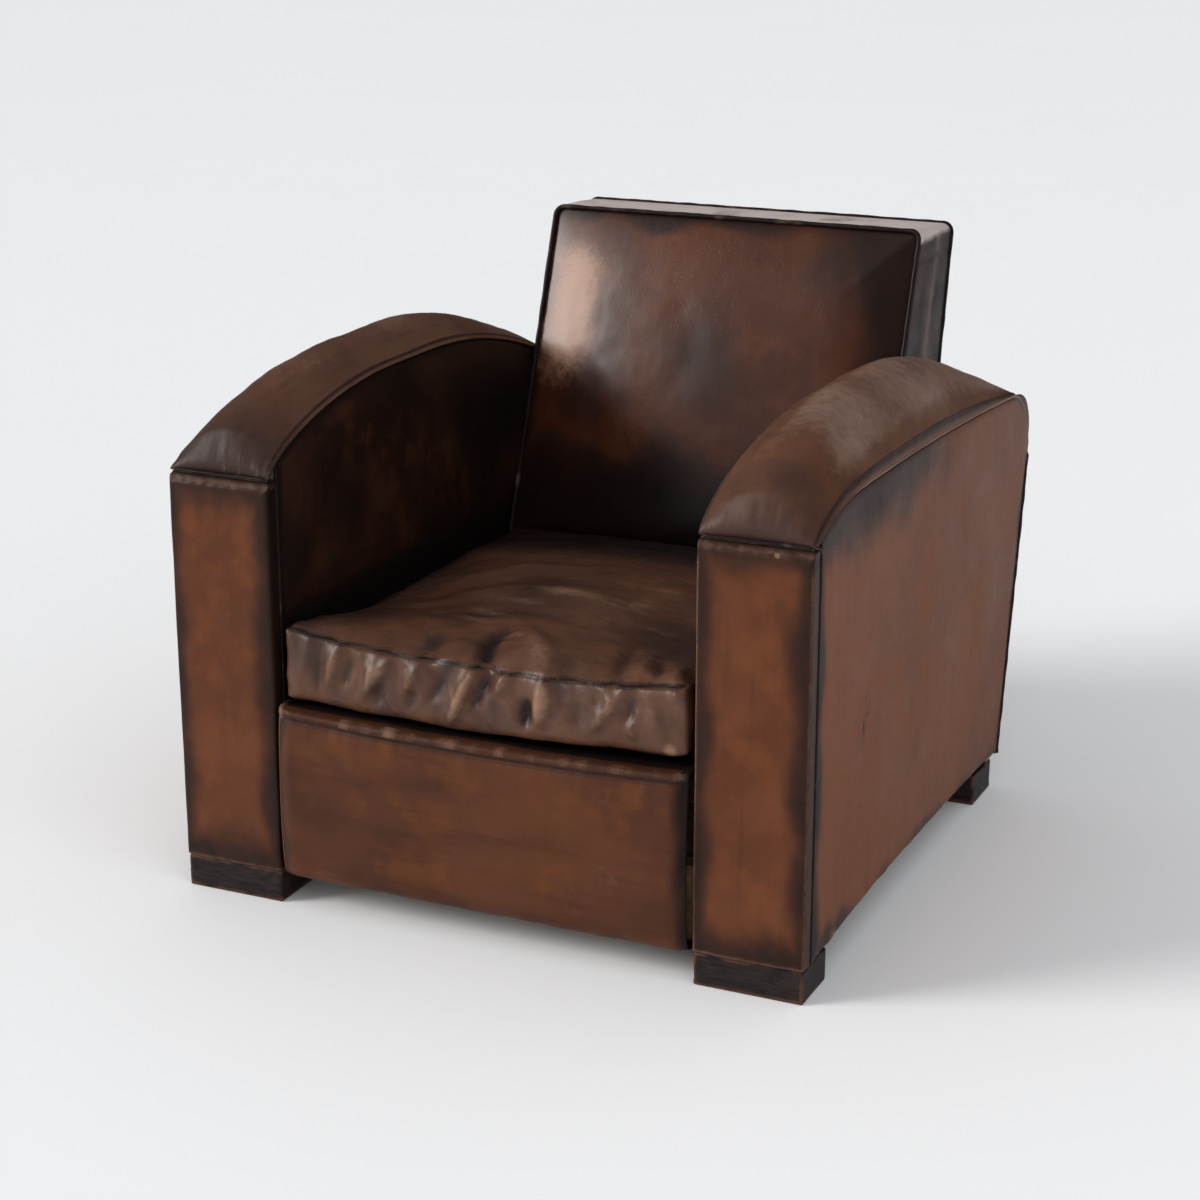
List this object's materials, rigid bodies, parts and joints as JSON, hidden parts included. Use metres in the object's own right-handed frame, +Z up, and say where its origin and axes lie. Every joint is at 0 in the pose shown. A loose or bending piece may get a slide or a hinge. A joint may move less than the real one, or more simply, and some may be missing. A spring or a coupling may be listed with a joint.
{
  "type": "club chair",
  "caption": "Low worn leather club chair with boxy crowned arms, a domed raked back, a loose cushion and short block feet, to sit in.",
  "frame": {"origin": "middle of the chair's floor area, on the floor", "axes": "-Y is the chair's front, +X is to the right of someone who looks at its front, +Z is up"},
  "size_m": [0.8, 0.9031, 0.7366],
  "materials": {
    "foot_timber": "dark stained, worn to brown at the edges",
    "frame_timber": "plain sawn hardwood, unfinished",
    "facing_leather": "waxed brown leather, dark at its edges",
    "arm_top_leather": "worn brown leather, semi-matt",
    "side_leather": "waxed brown leather with dark edges and a scratch",
    "inside_arm_leather": "dark brown leather",
    "back_leather": "glossy red-brown leather with fine creases",
    "apron_leather": "brown leather, brushed and faded at its right",
    "border_leather": "brown leather",
    "cushion_leather": "soft creased brown leather, semi-matt",
    "black_piping": "near-black leather piping",
    "stuffing": "horsehair and fibre",
    "jute_web": "woven jute webbing",
    "jute_canvas": "plain jute canvas",
    "spring_steel": "dull drawn wire"
  },
  "bodies": {
    "root": {"apron_leather": "apron_leather", "apron_stuffing": "stuffing", "arm_rail_left": "frame_timber", "arm_rail_right": "frame_timber", "arm_top_leather_left": "arm_top_leather", "arm_top_leather_right": "arm_top_leather", "arm_top_stuffing_left": "stuffing", "arm_top_stuffing_right": "stuffing", "back_border_leather": "border_leather", "back_canvas": "jute_canvas", "back_stuffing": "stuffing", "back_tacking_rail": "frame_timber", "back_top_rail": "frame_timber", "back_upright_left": "frame_timber", "back_upright_right": "frame_timber", "facing_board_left": "frame_timber", "facing_board_right": "frame_timber", "facing_leather_left": "facing_leather", "facing_leather_right": "facing_leather", "foot_back_left": "foot_timber", "foot_back_right": "foot_timber", "foot_front_left": "foot_timber", "foot_front_right": "foot_timber", "front_post_left": "frame_timber", "front_post_right": "frame_timber", "front_rail": "frame_timber", "inside_arm_leather_left": "inside_arm_leather", "inside_arm_leather_right": "inside_arm_leather", "inside_arm_stuffing_left": "stuffing", "inside_arm_stuffing_right": "stuffing", "inside_back_leather": "back_leather", "inside_back_welt": "black_piping", "outside_arm_leather_left": "side_leather", "outside_arm_leather_right": "side_leather", "outside_back_leather": "border_leather", "rear_post_left": "frame_timber", "rear_post_right": "frame_timber", "rear_rail": "frame_timber", "rear_welt": "black_piping", "seat_cushion": "cushion_leather", "seat_platform_leather": "border_leather", "seat_spring_1": "spring_steel", "seat_spring_2": "spring_steel", "seat_spring_3": "spring_steel", "seat_spring_4": "spring_steel", "seat_spring_5": "spring_steel", "seat_spring_6": "spring_steel", "seat_spring_7": "spring_steel", "seat_spring_8": "spring_steel", "seat_spring_9": "spring_steel", "seat_stuffing": "stuffing", "seat_web_back": "jute_web", "seat_web_centre": "jute_web", "seat_web_front": "jute_web", "seat_web_left": "jute_web", "seat_web_middle": "jute_web", "seat_web_right": "jute_web", "side_rail_left": "frame_timber", "side_rail_right": "frame_timber", "spring_canvas": "jute_canvas"}
  },
  "joints": []
}
